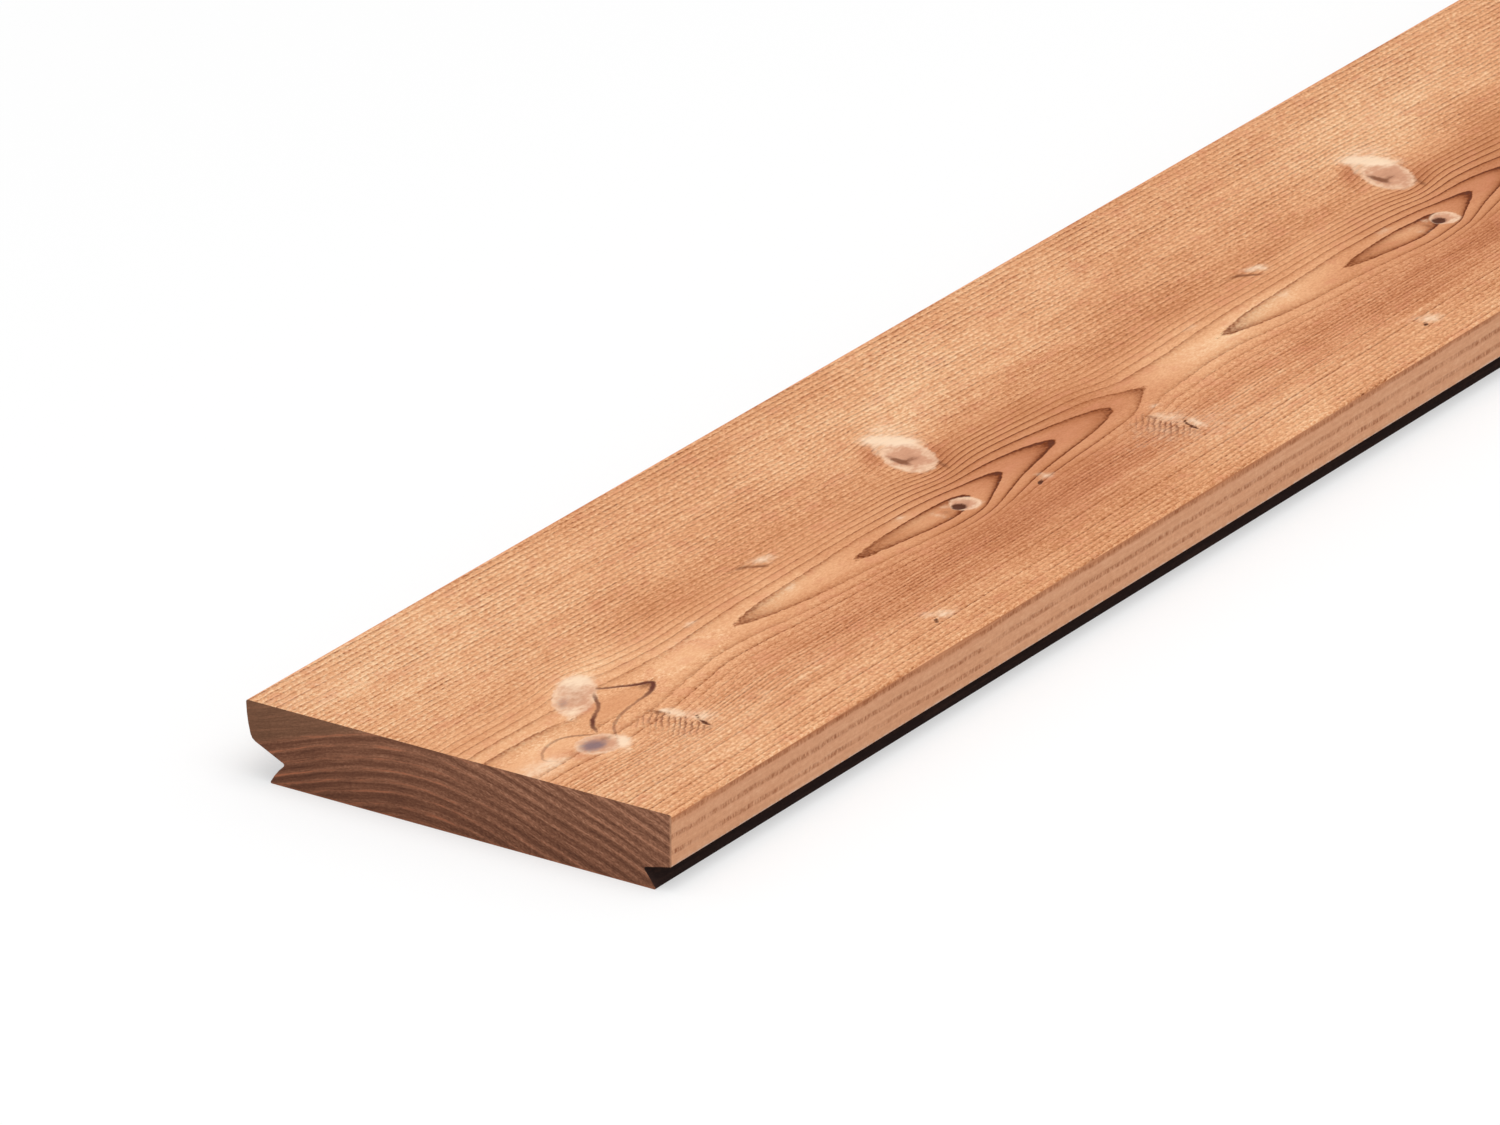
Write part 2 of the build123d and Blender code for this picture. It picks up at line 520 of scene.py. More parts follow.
def ring_pitch(offset, pitch, humps):
    """Pitch of the rings at distances from the middle line, all in mm."""
    for amount, place, reach, steepness in humps:
        pitch = pitch + amount * np.exp(-(((offset - place) / reach) ** steepness))
    return pitch


def rings_across(offset):
    """Rings counted outwards from the middle line: wide in the middle, then fine to both edges."""
    fine = np.linspace(0.0, PITCH_REACH, round(PITCH_REACH / PITCH_STEP) + 1)
    left_pitch = ring_pitch(fine, LEFT_PITCH, LEFT_PITCH_HUMPS)
    right_pitch = ring_pitch(fine, RIGHT_PITCH, RIGHT_PITCH_HUMPS)
    left = np.concatenate([[0.0], np.cumsum(PITCH_STEP / left_pitch[1:])])
    right = np.concatenate([[0.0], np.cumsum(PITCH_STEP / right_pitch[1:])])
    return np.where(offset < 0, -np.interp(-offset, fine, left), np.interp(offset, fine, right))


def check_line(along, across):
    """Signed distance in mm from the dark check, and its darkness at the nearest point."""
    points = np.array(CHECK, float)
    padded = np.vstack([points[:1], points, points[-1:]])
    shares = np.arange(CHECK_CURVE_STEPS)[:, None] / CHECK_CURVE_STEPS
    curve = []
    for p0, p1, p2, p3 in zip(padded, padded[1:], padded[2:], padded[3:]):
        bend = 2 * p1 + (p2 - p0) * shares + (2 * p0 - 5 * p1 + 4 * p2 - p3) * shares**2
        curve.append(0.5 * (bend + (3 * p1 - p0 - 3 * p2 + p3) * shares**3))
    curve = np.vstack(curve + [points[-1:]])
    distance = np.full(along.shape, FAR_AWAY)
    ink = np.zeros(along.shape)
    for start, end in zip(curve, curve[1:]):
        da, dc = end[:2] - start[:2]
        share = ((along - start[0]) * da + (across - start[1]) * dc) / (da * da + dc * dc)
        share = np.clip(share, 0.0, 1.0)
        off_along = along - start[0] - da * share
        off_across = across - start[1] - dc * share
        gap = np.hypot(off_along, off_across)
        side = np.where(da * (across - start[1]) - dc * (along - start[0]) < 0, -1.0, 1.0)
        closer = gap < np.abs(distance)
        distance = np.where(closer, gap * side, distance)
        ink = np.where(closer, start[2] + (end[2] - start[2]) * share, ink)
    return distance, ink


def off_period(along, place):
    """Distance along from the nearest repeat of a place in the figure's period."""
    return (along - place + FIGURE_PERIOD / 2) % FIGURE_PERIOD - FIGURE_PERIOD / 2


def middle_sway(along):
    """How far the figure's middle line sways across in each period."""
    return sum(shift * np.exp(-((off_period(along, place) / reach) ** 2)) for place, shift, reach in SWAYS)


def torn_grain(along, across):
    """How badly the grain is torn, rising along the board to a ragged front where it stops."""
    torn = np.zeros(along.shape)
    for front, middle, reach, half_width in TORN_PATCHES:
        ragged = front + sum(height * np.sin(across * turn) for height, turn in RAGGED_WAVES)
        rise = np.clip(1.0 - (ragged - along) / reach, 0.0, 1.0) * (along < ragged)
        torn += rise * np.exp(-((np.abs(across - middle) / half_width) ** 6))
    return torn


def line_boldness(along, across_rings):
    """Strength of the bold lines: more at the vees and their tips, less near the front end."""
    at_vees = np.exp(-((off_period(along, VEES_MIDDLE) / VEES_REACH) ** 4))
    bold_right = BOLD_REACH_RIGHT + BOLD_REACH_VEES * at_vees
    bold_reach = np.where(across_rings < 0, BOLD_REACH_LEFT, bold_right)
    bold = np.exp(-((np.abs(across_rings) / bold_reach) ** 3))
    at_tips = np.exp(-((across_rings / TIP_REACH) ** 2))
    in_front = np.exp(-((along / FRONT_REACH) ** 6))
    bold *= PLAIN_BOLDNESS + (VEE_BOLDNESS - PLAIN_BOLDNESS) * at_vees + TIP_BOLDNESS * at_tips
    return bold * (1.0 - FRONT_FAINTNESS * in_front)


def spot_fields(along, across, knots):
    """Fields of the knots, soft patches, check and torn grain, by attribute name."""
    fields = {"knot": nearest(along, across, knots)}
    fields["core"] = nearest(along, across, repeated(FRONT_CORES, PERIOD_CORES))
    for name, (front, patches) in PATCHES.items():
        fields[name] = FIELD_DEFAULTS[name] + patch_sum(along, across, repeated_patches(front, patches))
    fields["check"], fields["ink"] = check_line(along, across)
    fields["torn"] = torn_grain(along, across)
    return fields


def face_figure(along, across, knotty):
    """Fields of a planed face at its vertices, by attribute name."""
    knots = repeated(FRONT_KNOTS, PERIOD_KNOTS) if knotty else []
    bent = across.copy()
    for knot in knots:
        wide = knot._replace(long=knot.long * KNOT_BEND_REACH[0], short=knot.short * KNOT_BEND_REACH[1])
        bent -= (bent - knot.across) * KNOT_BEND * np.exp(-ellipse_distance(along, across, wide) ** 2)
    fine, ring, spread = ring_stations()
    spread_here = np.interp(along, fine, spread)
    offset = bent - MIDDLE_LINE
    reach = np.exp(-((offset / MIDDLE_REACH) ** 2))
    hold = 1.0 / (1.0 + (offset / MIDDLE_HOLD) ** 4)
    steady = along * RINGS_IN_PERIOD / FIGURE_PERIOD
    swayed = offset - middle_sway(along) * reach
    across_rings = rings_across(swayed / (1 + (spread_here - 1) * reach))
    fields = {"across": across_rings, "along": steady + (np.interp(along, fine, ring) - steady) * hold}
    fields["line"] = line_boldness(along, across_rings)
    if knotty:
        fields.update(spot_fields(along, across, knots))
        leaf = np.exp(-nearest(along, across, LEAVES) ** 4)
        fields["line"] = fields["line"] * (1.0 - leaf) - leaf
    return fields


def face_relief(fields):
    """How far in mm the planed face lies below full thickness: knots stand proud, damage is sunk."""
    ring = np.sqrt(fields["across"] ** 2 + TIP_ROUNDNESS**2) + fields["along"]
    soft = 1.0 - (ring % 1.0) ** 3
    relief = RING_RELIEF * soft * np.clip(fields["line"], 0.0, 1.0)
    relief += KNOT_RELIEF * np.clip(fields["knot"] - 0.8, 0.0, 1.0)
    relief += CHECK_RELIEF * fields["ink"] * np.exp(-((fields["check"] / CHECK_HALF_WIDTH) ** 2))
    relief += CORE_RELIEF * np.exp(-fields["core"] ** 4)
    relief += TORN_RELIEF * fields["torn"]
    return relief


# The mesh


def end_cap(outline):
    """A grid of points inside the section, and the corners of the triangles that fill it, as indices."""
    lows = outline.min(0) + END_STEP / 2
    highs = outline.max(0)
    across = np.arange(lows[0], highs[0], END_STEP)
    upwards = np.arange(lows[1], highs[1], END_STEP)
    count = len(outline)
    inner = [(x, z) for z in upwards for x in across if inside((x, z), outline)]
    places = [Vector(p) for p in outline] + [Vector(p) for p in inner]
    rim = [(i, (i + 1) % count) for i in range(count)]
    _, _, triangles, sources, _, _ = delaunay_2d_cdt(places, rim, [], 1, MERGE_DISTANCE)
    corners = [[sources[i][0] for i in triangle] for triangle in triangles]
    return np.array(inner), np.array(corners)


def inside(point, outline):
    """Whether a point lies in the section, clear of its outline."""
    start = outline
    end = np.roll(outline, -1, axis=0)
    edge = end - start
    share = np.clip(((point - start) * edge).sum(1) / (edge**2).sum(1), 0.0, 1.0)
    clear = np.hypot(*(start + edge * share[:, None] - point).T).min() > END_CLEARANCE
    crossing = (start[:, 1] > point[1]) != (end[:, 1] > point[1])
    with np.errstate(divide="ignore", invalid="ignore"):
        where = start[:, 0] + (point[1] - start[:, 1]) / edge[:, 1] * edge[:, 0]
    return clear and np.count_nonzero(crossing & (where > point[0])) % 2 == 1


def bake_corners(rows, outline, zones, inner, cap):
    """Place in the bake picture, from 0 to 1, of each face corner: the zones' strips, then the two ends."""
    steps = np.hypot(*(np.roll(outline, -1, axis=0) - outline).T)
    lengths = np.concatenate([[0.0], np.cumsum(steps)])
    quads = np.empty((len(rows) - 1, len(outline), 4, 2))
    inner_side = BAKE_SIDE - 2 * BAKE_GAP
    base = BAKE_GAP
    for zone, (strips, height) in BAKE_STRIPS.items():
        columns = np.flatnonzero(zones == zone)
        run = LENGTH / strips
        strip = np.floor((rows[:-1] + rows[1:]) / 2 / run)
        for corner, (row, column) in enumerate([(0, 0), (0, 1), (1, 1), (1, 0)]):
            share_along = (rows[row:len(rows) - 1 + row] - strip * run) / run
            share_across = lengths[columns + column] - lengths[columns[0]]
            share_across /= lengths[columns[-1] + 1] - lengths[columns[0]]
            quads[:, columns, corner, 0] = (BAKE_GAP + inner_side * share_along)[:, None]
            strip_base = base + strip * (height + BAKE_GAP)
            quads[:, columns, corner, 1] = strip_base[:, None] + height * (1 - share_across)
        base += strips * (height + BAKE_GAP)

    section = np.vstack([outline, inner])
    width = (inner_side - BAKE_GAP) / 2
    right = width * (section[:, 0] - LEFT) / WIDTH
    up = base + BAKE_END_HEIGHT * section[:, 1] / THICKNESS
    front = np.stack([BAKE_GAP + right, up], axis=-1)[cap]
    back = np.stack([BAKE_SIDE - BAKE_GAP - right, up], axis=-1)[cap[:, ::-1]]
    return np.vstack([quads.reshape(-1, 2), front.reshape(-1, 2), back.reshape(-1, 2)]) / BAKE_SIDE


def board_fields(outline, along, across):
    """Fields of the shell's points, by attribute name: the figure is on the top face and the underside."""
    fields = {name: np.full(along.shape, value) for name, value in FIELD_DEFAULTS.items()}
    on_top = outline[:, 1] > THICKNESS - ARRIS_DEPTH
    on_underside = outline[:, 1] < UNDERSIDE_SKIN
    top_fields = face_figure(along[:, on_top], across[:, on_top], True)
    under_fields = face_figure(LENGTH - along[:, on_underside], WIDTH - across[:, on_underside], False)
    for face, figure in ((on_top, top_fields), (on_underside, under_fields)):
        for name, values in figure.items():
            fields[name][:, face] = values
    return fields


def board_mesh(vertices, faces, finishes, fields, bake_places):
    """The mesh, with its finishes, fields and bake map."""
    mesh = bpy.data.meshes.new("decking_board_finish")
    mesh.from_pydata(vertices.tolist(), [], faces)
    mesh.polygons.foreach_set("use_smooth", np.ones(len(faces), bool))
    mesh.polygons.foreach_set("material_index", finishes.astype(np.int32))
    for name, values in fields.items():
        padded = np.full(len(vertices), FIELD_DEFAULTS[name], np.float32)
        padded[:values.size] = values.ravel()
        attribute = mesh.attributes.new(name, "FLOAT", "POINT")
        attribute.data.foreach_set("value", padded)
    bake_map = mesh.uv_layers.new(name="OFBake")
    bake_map.data.foreach_set("uv", bake_places.ravel())
    mesh.set_sharp_from_angle(angle=math.radians(SHARP_ANGLE))
    mesh.update()
    return mesh


def build_board():
    """The board: a closed shell along its rows, with a cap on each end."""
    outline, zones = divided(thinned(section_outline(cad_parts["decking_board"])))
    rows = row_stations(repeated(FRONT_KNOTS + FRONT_CORES, PERIOD_KNOTS + PERIOD_CORES))
    columns = len(outline)
    points = np.empty((len(rows), columns, 3))
    points[:, :, 0] = outline[:, 0]
    points[:, :, 1] = rows[:, None] + FRONT
    points[:, :, 2] = outline[:, 1]
    along = np.repeat(rows, columns).reshape(len(rows), columns)
    fields = board_fields(outline, along, points[:, :, 0] - LEFT)
    flat = outline[:, 1] > THICKNESS - TOLERANCE
    inner_share = np.clip((WIDTH / 2 - np.abs(outline[flat, 0]) - ARRIS_DEPTH) / RELIEF_EASING, 0.0, 1.0)
    points[:, flat, 2] -= face_relief({k: v[:, flat] for k, v in fields.items()}) * inner_share

    inner, cap = end_cap(outline)
    shell = points.reshape(-1, 3)
    front = np.column_stack([inner[:, 0], np.full(len(inner), FRONT), inner[:, 1]])
    back = front + (0.0, LENGTH, 0.0)
    vertices = np.vstack([shell, front, back]) * MM

    index = np.arange(len(shell)).reshape(len(rows), columns)
    turn = np.roll(index, -1, axis=1)
    quads = np.stack([index[:-1], turn[:-1], turn[1:], index[1:]], axis=-1).reshape(-1, 4)
    front_index = np.concatenate([index[0], len(shell) + np.arange(len(inner))])
    back_index = np.concatenate([index[-1], len(shell) + len(inner) + np.arange(len(inner))])
    faces = quads.tolist() + front_index[cap].tolist() + back_index[cap[:, ::-1]].tolist()
    finish = np.array([ZONE_FINISH[zone] for zone in zones])
    finishes = np.concatenate([np.tile(finish, len(rows) - 1), np.full(2 * len(cap), END)])

    bake_places = bake_corners(rows, outline, zones, inner, cap)
    mesh = board_mesh(vertices, faces, finishes, fields, bake_places)
    board = bpy.data.objects.new("decking_board_finish", mesh)
    bpy.context.scene.collection.objects.link(board)
    return board


# Materials


class Tree:
    """Node tree of a material or a world, with a short call for each kind of node."""

    def __init__(self, owner):
        owner.use_nodes = True
        self.owner = owner
        self.nodes = owner.node_tree.nodes
        self.links = owner.node_tree.links
        self.shader = self.nodes.get("Principled BSDF")

    def fill(self, node, inputs):
        """Link a node's inputs to outputs, or set their own values."""
        for key, value in inputs.items():
            if isinstance(value, bpy.types.NodeSocket):
                self.links.new(value, node.inputs[key])
            else:
                node.inputs[key].default_value = value

    def new(self, kind, inputs, **settings):
        """A new node with its settings and inputs."""
        node = self.nodes.new("ShaderNode" + kind)
        for name, setting in settings.items():
            setattr(node, name, setting)
        self.fill(node, inputs)
        return node

    def place(self):
        """Place on the board in mm."""
        coordinates = self.new("TexCoord", {}).outputs["Object"]
        return self.scaled(coordinates, (1 / MM, 1 / MM, 1 / MM))

    def scaled(self, vector, scale):
        return self.new("VectorMath", {0: vector, 1: scale}, operation="MULTIPLY").outputs[0]

    def parts(self, vector):
        return tuple(self.new("SeparateXYZ", {0: vector}).outputs)

    def joined(self, *values):
        return self.new("CombineXYZ", dict(enumerate(values))).outputs[0]

    def field(self, name):
        return self.new("Attribute", {}, attribute_name=name).outputs["Fac"]

    def math(self, operation, *values):
        return self.new("Math", dict(enumerate(values)), operation=operation).outputs[0]

    def add(self, *terms):
        """Sum of terms, each a value or a group of values to multiply."""
        values = [self.times(*term) if isinstance(term, tuple) else term for term in terms]
        total = values[0]
        for value in values[1:]:
            total = self.math("ADD", total, value)
        return total

    def times(self, *values):
        product = values[0]
        for value in values[1:]:
            product = self.math("MULTIPLY", product, value)
        return product

    def step(self, value, start, end, low=0.0, high=1.0):
        """A soft step from low to high as the value goes from start to end."""
        inputs = dict(enumerate((value, start, end, low, high)))
        return self.new("MapRange", inputs, interpolation_type="SMOOTHSTEP").outputs[0]

    def noise(self, vector, scale, detail=2.0, roughness=0.5):
        """Noise about 0, with a scale for each axis in cells per mm."""
        cells = self.scaled(vector, scale)
        inputs = {"Vector": cells, "Scale": 1.0, "Detail": detail, "Roughness": roughness}
        return self.math("SUBTRACT", self.new("TexNoise", inputs).outputs[0], 0.5)

    def chance(self, value):
        """A fixed random number from 0 to 1 for each whole number."""
        return self.new("TexWhiteNoise", {"W": value}, noise_dimensions="1D").outputs["Value"]

    def mix(self, share, first, second):
        inputs = {0: share, 6: first, 7: second}
        return self.new("Mix", inputs, data_type="RGBA", clamp_factor=True).outputs[2]

    def ramp(self, value, stops):
        """Colour along a scale, from (position, colour) stops."""
        node = self.new("ValToRGB", {0: value})
        elements = node.color_ramp.elements
        while len(elements) < len(stops):
            elements.new(0.5)
        for element, (position, colour) in zip(elements, stops):
            element.position = position
            element.color = colour
        return node.outputs[0]

    def relief(self, height, distance):
        """Fine relief of a given depth in mm."""
        bump = self.new("Bump", {"Strength": 1.0, "Distance": distance * MM, "Height": height})
        self.fill(self.shader, {"Normal": bump.outputs[0]})

    def finish(self, colour, roughness, gloss):
        self.fill(self.shader, {"Base Color": colour, "Roughness": roughness, "Specular IOR Level": gloss})
        return self.owner


def growth_rings(tree, place, streaks, jags):
    """Share of dark late wood: bold lines about the middle, dotted ones left, faint ones right."""
    wander = tree.noise(place, (0.05, 0.012, 0.05), 1.0)
    dots = tree.noise(place, (1.0, 0.75, 1.0), 1.0)
    fades = tree.noise(place, (0.1, 0.045, 0.1), 1.0)
    across = tree.field("across")
    bold = tree.field("line")
    rounded = tree.math("SQRT", tree.add((across, across), TIP_ROUNDNESS**2))
    jag_share = tree.step(bold, 0.4, 1.1, 0.32, 0.12)
    shift = tree.add((wander, 0.35), (jags, jag_share), RING_START - TIP_ROUNDNESS)
    ring = tree.add(rounded, tree.field("along"), shift)
    luck = tree.chance(tree.math("FLOOR", ring))
    strength = ring_strength(tree, across, bold, luck, fades)
    late_wood = ring_shape(tree, across, tree.math("FRACT", ring))
    breaks = tree.add(3.0, (tree.math("MINIMUM", bold, 1.0), -2.2))
    uneven = tree.add(1.0, (streaks, 0.5), (dots, breaks))
    return tree.times(late_wood, strength, uneven)


def ring_strength(tree, across, bold, luck, fades):
    """Darkness of each ring's line: even to the left, by luck to the right, and bold about the middle."""
    even = tree.add(0.4, (luck, 0.14), (fades, 0.6))
    rare = tree.times(tree.math("POWER", luck, 3.0), 0.36)
    scarce = tree.add(tree.step(across, 8.0, 18.0, 0.48, 0.34), rare, (fades, 0.5))
    to_right = tree.step(across, -1.5, 1.5)
    faint = tree.add(even, (to_right, tree.math("SUBTRACT", scarce, even)))
    return tree.math("MAXIMUM", bold, tree.times(faint, tree.step(bold, -1.0, 0.0)))


def ring_shape(tree, across, phase):
    """Late wood over one ring: it darkens slowly and stops at once, most sharply beside the middle line."""
    off_middle = tree.math("ABSOLUTE", across)
    near_sharpness = tree.step(off_middle, 0.2, 1.4, 4.0, 5.4)
    sharpness = tree.add(near_sharpness, tree.step(off_middle, 3.0, 8.0, 0.0, -3.2))
    line = tree.times(tree.math("POWER", phase, sharpness), 0.9)
    rise = tree.times(tree.math("POWER", phase, 1.5), 0.16)
    return tree.times(tree.add(line, rise), tree.step(phase, 1.0, 0.93))


def clear_wood(tree, place, streaks, pores, tints):
    """Colour between the lines: shades with streaks, clouds and pores, then pink tints and red patches."""
    clouds = tree.noise(place, (0.12, 0.03, 0.12))
    calm = tree.math("MINIMUM", tree.math("ABSOLUTE", tree.field("line")), 1.0)
    pore_share = tree.add(1.5, (calm, -1.0))
    across = tree.field("across")
    right_of_middle = tree.times(tree.step(across, 3.0, 7.0), tree.step(across, 22.0, 16.0))
    streak_share = tree.add(0.22, (right_of_middle, 0.62))
    fine = tree.add((streaks, streak_share), (clouds, 0.35), (pores, pore_share))
    colour = tree.ramp(tree.add(tree.field("shade"), fine, FACE_SHADE), FACE_COLOURS)
    colour = tree.mix(tree.step(tints, 0.02, 0.2, 0.0, 0.3), colour, TINT_COLOUR)
    return tree.mix(tree.times(tree.field("red"), 0.5), colour, RED_COLOUR)


def knots_over(tree, place, jags, colour):
    """The wood's colour with knots, pale halos, slate patches, brown smudges and dark cores laid over it."""
    mottle = tree.noise(place, (0.35, 0.22, 0.35), 3.0, 0.65)
    knot = tree.step(tree.add(tree.field("knot"), (jags, 0.35)), 1.08, 0.86)
    knot_scale = tree.add(tree.field("knot"), (mottle, 1.4), (jags, 0.5))
    colour = tree.mix(tree.times(knot, 0.9), colour, tree.ramp(knot_scale, KNOT_COLOURS))
    paleness = tree.add(tree.field("halo"), (jags, 0.7), (mottle, 0.3))
    colour = tree.mix(tree.times(tree.step(paleness, 0.1, 0.95), 0.85), colour, HALO_COLOUR)
    slate = tree.step(tree.add(tree.field("slate"), (mottle, 0.9)), 0.2, 0.9)
    colour = tree.mix(tree.times(slate, 0.8), colour, SLATE_COLOUR)
    smudge = tree.step(tree.add(tree.field("smudge"), (jags, 0.8)), 0.15, 1.0)
    colour = tree.mix(tree.times(smudge, 0.85), colour, SMUDGE_COLOUR)
    core = tree.step(tree.add(tree.field("core"), (jags, 0.5)), 1.15, 0.7)
    return tree.mix(tree.times(core, 0.96), colour, CORE_COLOUR)


def check_share(tree, jags):
    """Share of the dark check's colour: a line that is wider where it is darker."""
    off_line = tree.math("ABSOLUTE", tree.add(tree.field("check"), jags))
    ink = tree.field("ink")
    half_width = tree.add(0.35, (ink, 0.85))
    return tree.times(tree.step(tree.math("DIVIDE", off_line, half_width), 1.0, 0.25), ink)


def torn_comb(tree, x, y, jags, tints):
    """Dark slanted strokes of the torn grain."""
    slanted = tree.add((x, 1 / COMB_PITCH), (y, COMB_SLANT))
    combed = tree.add(slanted, (jags, 0.7), (tints, 1.6))
    strokes = tree.step(tree.math("FRACT", combed), 0.35, 0.9)
    return tree.times(strokes, tree.field("torn"), tree.add(0.95, (tints, 1.6)))


def planed_face():
    """Planed softwood: clear wood, growth rings, knots, the warm left arris, the check and torn grain."""
    tree = Tree(bpy.data.materials.new("planed_softwood"))
    place = tree.place()
    x, y, _ = tree.parts(place)
    streaks = tree.noise(place, (0.75, 0.012, 0.75), 3.0, 0.6)
    pores = tree.noise(place, (1.9, 0.85, 1.9), 2.0, 0.65)
    jags = tree.noise(place, (0.9, 0.42, 0.9), 2.0, 0.6)
    tints = tree.noise(place, (0.16, 0.09, 0.16), 2.0, 0.6)
    lines = growth_rings(tree, place, streaks, jags)

    colour = clear_wood(tree, place, streaks, pores, tints)
    colour = tree.mix(tree.times(lines, 1.3), colour, tree.ramp(lines, LINE_COLOURS))
    colour = knots_over(tree, place, jags, colour)
    arris = tree.times(tree.step(x, LEFT + ARRIS_WARMTH, LEFT), 0.6)
    colour = tree.mix(arris, colour, ARRIS_COLOUR)
    colour = tree.mix(check_share(tree, jags), colour, CHECK_COLOUR)
    comb = torn_comb(tree, x, y, jags, tints)
    colour = tree.mix(tree.times(comb, 0.85), colour, TORN_COLOUR)

    gloss_noise = tree.noise(place, (0.5, 0.05, 0.5))
    roughness = tree.add(FACE_ROUGHNESS, (gloss_noise, ROUGHNESS_SPREAD))
    height = tree.add((pores, 0.6), (lines, -0.2), (comb, -1.5))
    tree.relief(height, FACE_BUMP)
    return tree.finish(colour, roughness, FACE_GLOSS)


def edge_grain():
    """Moulded long edge: growth rings cross it as broken brown bands with upright ticks."""
    tree = Tree(bpy.data.materials.new("edge_grain"))
    place = tree.place()
    _, _, height = tree.parts(place)
    streaks = tree.noise(place, (0.3, 0.02, 1.0), 3.0, 0.6)
    pores = tree.noise(place, (1.0, 0.6, 1.0), 3.0, 0.7)
    ticks = tree.noise(place, (0.6, 1.2, 0.5), 2.0, 0.65)
    broken = tree.noise(place, (0.2, 0.06, 0.25))
    long_sway = tree.times(tree.noise(place, (0.01, 0.016, 0.01)), 2.4)
    short_sway = tree.times(tree.noise(place, (0.1, 0.14, 0.1)), 0.9)
    depth = tree.add(THICKNESS, (height, -1.0), tree.add(long_sway, short_sway))
    first_band = 0.5 - EDGE_BAND_DEPTH / EDGE_BAND_PITCH
    phase = tree.math("FRACT", tree.add((depth, 1 / EDGE_BAND_PITCH), first_band))
    off_band = tree.times(tree.math("ABSOLUTE", tree.add(phase, -0.5)), EDGE_BAND_PITCH)
    band = tree.step(off_band, 1.1, 0.4)
    band = tree.times(band, tree.step(broken, -0.4, 0.1), tree.add(0.7, (ticks, 4.0)))
    shade = tree.add(0.5, (streaks, 0.45), (pores, 0.6))
    colour = tree.ramp(shade, EDGE_COLOURS)
    crest = tree.times(tree.step(depth, 3.6, 0.4), tree.add(0.7, (streaks, 2.0)))
    colour = tree.mix(crest, colour, EDGE_CREST_COLOUR)
    colour = tree.mix(tree.times(band, 0.6), colour, EDGE_BAND_COLOUR)
    hem = tree.times(tree.step(height, RIGHT_MOUTH + 1.0, RIGHT_MOUTH + 0.4), tree.step(pores, -0.12, 0.12))
    colour = tree.mix(tree.times(hem, 0.7), colour, EDGE_HEM_COLOUR)
    tree.relief(tree.add((pores, 0.6), (band, -0.8)), FACE_BUMP)
    return tree.finish(colour, tree.add(EDGE_ROUGHNESS, (pores, ROUGHNESS_SPREAD)), FACE_GLOSS)


def clip_groove_painted_shade():
    """Moulded groove, coloured near black as painted shade, with faint tool streaks along it."""
    tree = Tree(bpy.data.materials.new("clip_groove_painted_shade"))
    place = tree.place()
    streaks = tree.noise(place, (0.6, 0.03, 0.9), 3.0, 0.6)
    pores = tree.noise(place, (1.2, 0.5, 1.2))
    shade = tree.add(0.5, (streaks, 1.2), (pores, 0.6))
    colour = tree.ramp(shade, GROOVE_PAINTED_SHADE_COLOURS)
    tree.relief(pores, GROOVE_BUMP)
    roughness = tree.add(GROOVE_ROUGHNESS, (streaks, ROUGHNESS_SPREAD))
    return tree.finish(colour, roughness, GROOVE_GLOSS)


def arched_height(tree, place, out, z):
    """Height of the rings on an end: a flat arch about its apex, a little unsteady."""
    wander = tree.noise(place, (0.05, 0.05, 0.05))
    jags = tree.noise(place, (0.8, 0.8, 0.8), 3.0, 0.7)
    bend = tree.math("LOGARITHM", tree.math("COSH", tree.times(out, 1 / END_ARCH)), math.e)
    rise = tree.times(bend, END_SLOPE * END_ARCH)
    return tree.add(z, rise, (wander, 1.6), (jags, 0.5))


def end_rims(tree, x, z, colour):
    """An end's colour with its warm foot and a painted highlight along its right edge."""
    foot = tree.times(tree.step(z, 0.7, 0.1), 0.35)
    colour = tree.mix(foot, colour, END_FOOT_COLOUR)
    # Painted highlight on the eased edge between the end and the right side
    corner = tree.step(x, WIDTH / 2 - 0.9, WIDTH / 2 - 0.2)
    return tree.mix(tree.times(corner, 0.55), colour, END_EDGE_HIGHLIGHT_COLOUR)


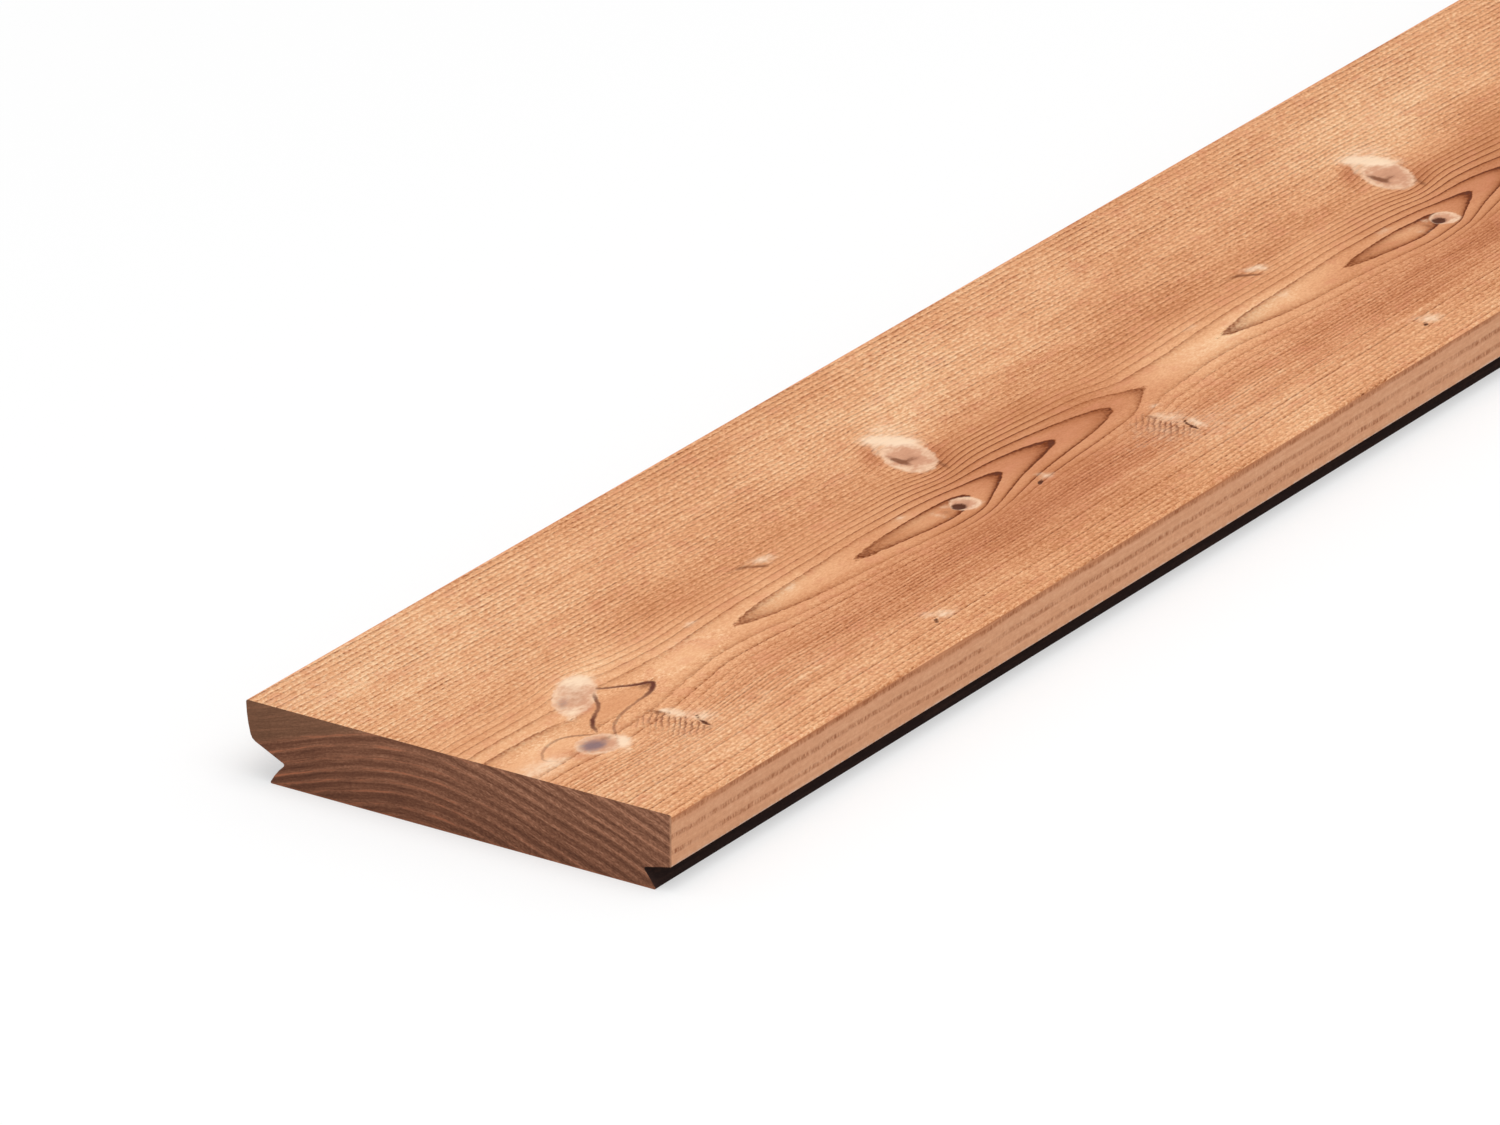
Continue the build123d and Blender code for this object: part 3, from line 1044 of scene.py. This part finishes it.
def end_grain():
    """Sawn end: end grain darker than the faces and darkened further as painted shade, in a flat arch of
    growth rings with reddish light lines, strands and pores.
    """
    tree = Tree(bpy.data.materials.new("end_grain"))
    place = tree.place()
    x, y, z = tree.parts(place)
    out = tree.add(x, -(END_APEX + LEFT))
    height = arched_height(tree, place, out, z)
    along_rings = tree.joined(height, x, y)
    strands = tree.noise(along_rings, (1.3, 0.07, 0.07), 3.0, 0.7)
    pores = tree.noise(along_rings, (2.1, 0.8, 0.8), 3.0, 0.7)
    uneven = tree.times(tree.noise(along_rings, (0.2, 0.015, 0.015)), 0.7)
    ring = tree.add((height, 1 / END_RING_PITCH), -END_RING_START / END_RING_PITCH, uneven)
    phase = tree.math("FRACT", ring)
    above = tree.step(height, END_PLAIN_HEIGHT, END_PLAIN_HEIGHT + 2.5)
    plain_corner = tree.times(above, tree.step(out, -12.0, -26.0))
    strength = tree.add(0.65, (tree.chance(tree.math("FLOOR", ring)), 0.6))
    strength = tree.times(strength, tree.add(1.0, (plain_corner, -0.9)))
    strength = tree.times(strength, tree.step(out, 10.0, 50.0, 1.0, 1.1))
    tone = tree.times(tree.step(phase, 0.0, 0.36), tree.step(phase, 1.0, 0.4))
    banded = tree.times(tree.add(tone, -0.5), strength)
    grain_share = tree.step(out, -20.0, 30.0, 0.9, 1.5)
    grain = tree.add((strands, 1.05), (pores, grain_share))
    slow = tree.add((z, END_LIFT), (x, END_FALL))
    colour = tree.ramp(tree.add(END_SHADE, (banded, 0.3), grain, slow), END_GRAIN_AND_SHADE_COLOURS)
    colour = tree.mix(tree.times(plain_corner, 0.4), colour, END_PLAIN_COLOUR)
    on_light = tree.step(tree.math("ABSOLUTE", tree.add(phase, -0.38)), 0.16, 0.04)
    fading = tree.step(out, 45.0, -10.0, 0.25, 0.8)
    red_line = tree.times(on_light, tree.step(strands, -0.06, 0.14), fading, strength)
    colour = end_rims(tree, x, z, tree.mix(red_line, colour, END_LINE_COLOUR))
    tree.relief(tree.add((banded, -0.5), (pores, 0.9)), END_BUMP)
    return tree.finish(colour, tree.add(END_ROUGHNESS, (pores, ROUGHNESS_SPREAD)), END_GLOSS)


# Stage


def prepare_scene():
    """Plain view settings, and none of the start file's lamps and cameras."""
    bpy.context.scene.view_settings.view_transform = "Standard"
    for leftover in [o for o in bpy.data.objects if o.type in ("LIGHT", "CAMERA")]:
        bpy.data.objects.remove(leftover)


def build_floor():
    """White floor that takes the board's shadow and glows a little to the camera."""
    half = FLOOR_SIZE / 2
    mesh = bpy.data.meshes.new("floor")
    corners = [(-half, -half, 0), (half, -half, 0), (half, half, 0), (-half, half, 0)]
    mesh.from_pydata(corners, [], [(0, 1, 2, 3)])
    floor = bpy.data.objects.new("floor", mesh)
    floor.location.z = low_corner.z - FLOOR_CLEARANCE * MM
    bpy.context.scene.collection.objects.link(floor)
    tree = Tree(bpy.data.materials.new("studio_floor"))
    tree.finish(FLOOR_COLOUR, FLOOR_ROUGHNESS, 0.0)
    glow = tree.new("Emission", {})
    seen = tree.new("LightPath", {}).outputs["Is Camera Ray"]
    shaders = {0: tree.times(seen, FLOOR_GLOW), 1: tree.shader.outputs[0], 2: glow.outputs[0]}
    either = tree.new("MixShader", shaders)
    tree.fill(tree.nodes["Material Output"], {"Surface": either.outputs[0]})
    mesh.materials.append(tree.owner)


def build_lamp():
    """One large soft lamp, aimed at the middle of the board."""
    lamp = bpy.data.lights.new("key", "AREA")
    lamp.size = KEY_SIZE
    lamp.energy = KEY_POWER
    key = bpy.data.objects.new("key", lamp)
    key.location = KEY_PLACE
    key.rotation_euler = (-Vector(KEY_PLACE)).to_track_quat("-Z", "Y").to_euler()
    bpy.context.scene.collection.objects.link(key)


def build_world():
    """Even white light, and a white backdrop for the camera, reflections and clear things."""
    world = bpy.data.worlds.new("studio")
    bpy.context.scene.world = world
    tree = Tree(world)
    light = tree.nodes["Background"]
    tree.fill(light, {"Color": WHITE, "Strength": WORLD_LEVEL})
    backdrop = tree.new("Background", {"Color": WHITE})
    path = tree.new("LightPath", {}).outputs
    seen = path["Is Camera Ray"]
    for ray in ("Is Glossy Ray", "Is Transmission Ray"):
        seen = tree.math("MAXIMUM", seen, path[ray])
    either = tree.new("MixShader", {0: seen, 1: light.outputs[0], 2: backdrop.outputs[0]})
    tree.fill(tree.nodes["World Output"], {"Surface": either.outputs[0]})


def build_camera():
    """The photograph's view: placed so that the near top corner falls on its pixel."""
    azimuth = math.radians(CAMERA_AZIMUTH)
    elevation = math.radians(CAMERA_ELEVATION)
    right = Vector((math.cos(azimuth), math.sin(azimuth), 0))
    lean = math.sin(elevation)
    up = Vector((-math.sin(azimuth) * lean, math.cos(azimuth) * lean, math.cos(elevation)))
    back = right.cross(up)
    near_corner = Vector((high_corner.x, low_corner.y, high_corner.z))
    distance = NEAR_CORNER_DISTANCE * MM
    off_right = (NEAR_CORNER_PIXEL[0] - PICTURE_SIZE[0] / 2) / FOCAL_PIXELS * distance
    off_up = (PICTURE_SIZE[1] / 2 - NEAR_CORNER_PIXEL[1]) / FOCAL_PIXELS * distance
    lens = bpy.data.cameras.new("camera")
    lens.sensor_width = SENSOR_WIDTH
    lens.lens = FOCAL_PIXELS / PICTURE_SIZE[0] * SENSOR_WIDTH
    lens.clip_end = CLIP_END
    camera = bpy.data.objects.new("camera", lens)
    turn = Matrix((right, up, back)).transposed().to_4x4()
    place = near_corner - right * off_right - up * off_up + back * distance
    camera.matrix_world = Matrix.Translation(place) @ turn
    bpy.context.scene.collection.objects.link(camera)
    bpy.context.scene.camera = camera


board = build_board()
for make_finish in (planed_face, edge_grain, clip_groove_painted_shade, end_grain):
    board.data.materials.append(make_finish())
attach(board, "root")
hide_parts("decking_board")
prepare_scene()
build_floor()
build_lamp()
build_world()
build_camera()

bpy.context.view_layer.update()
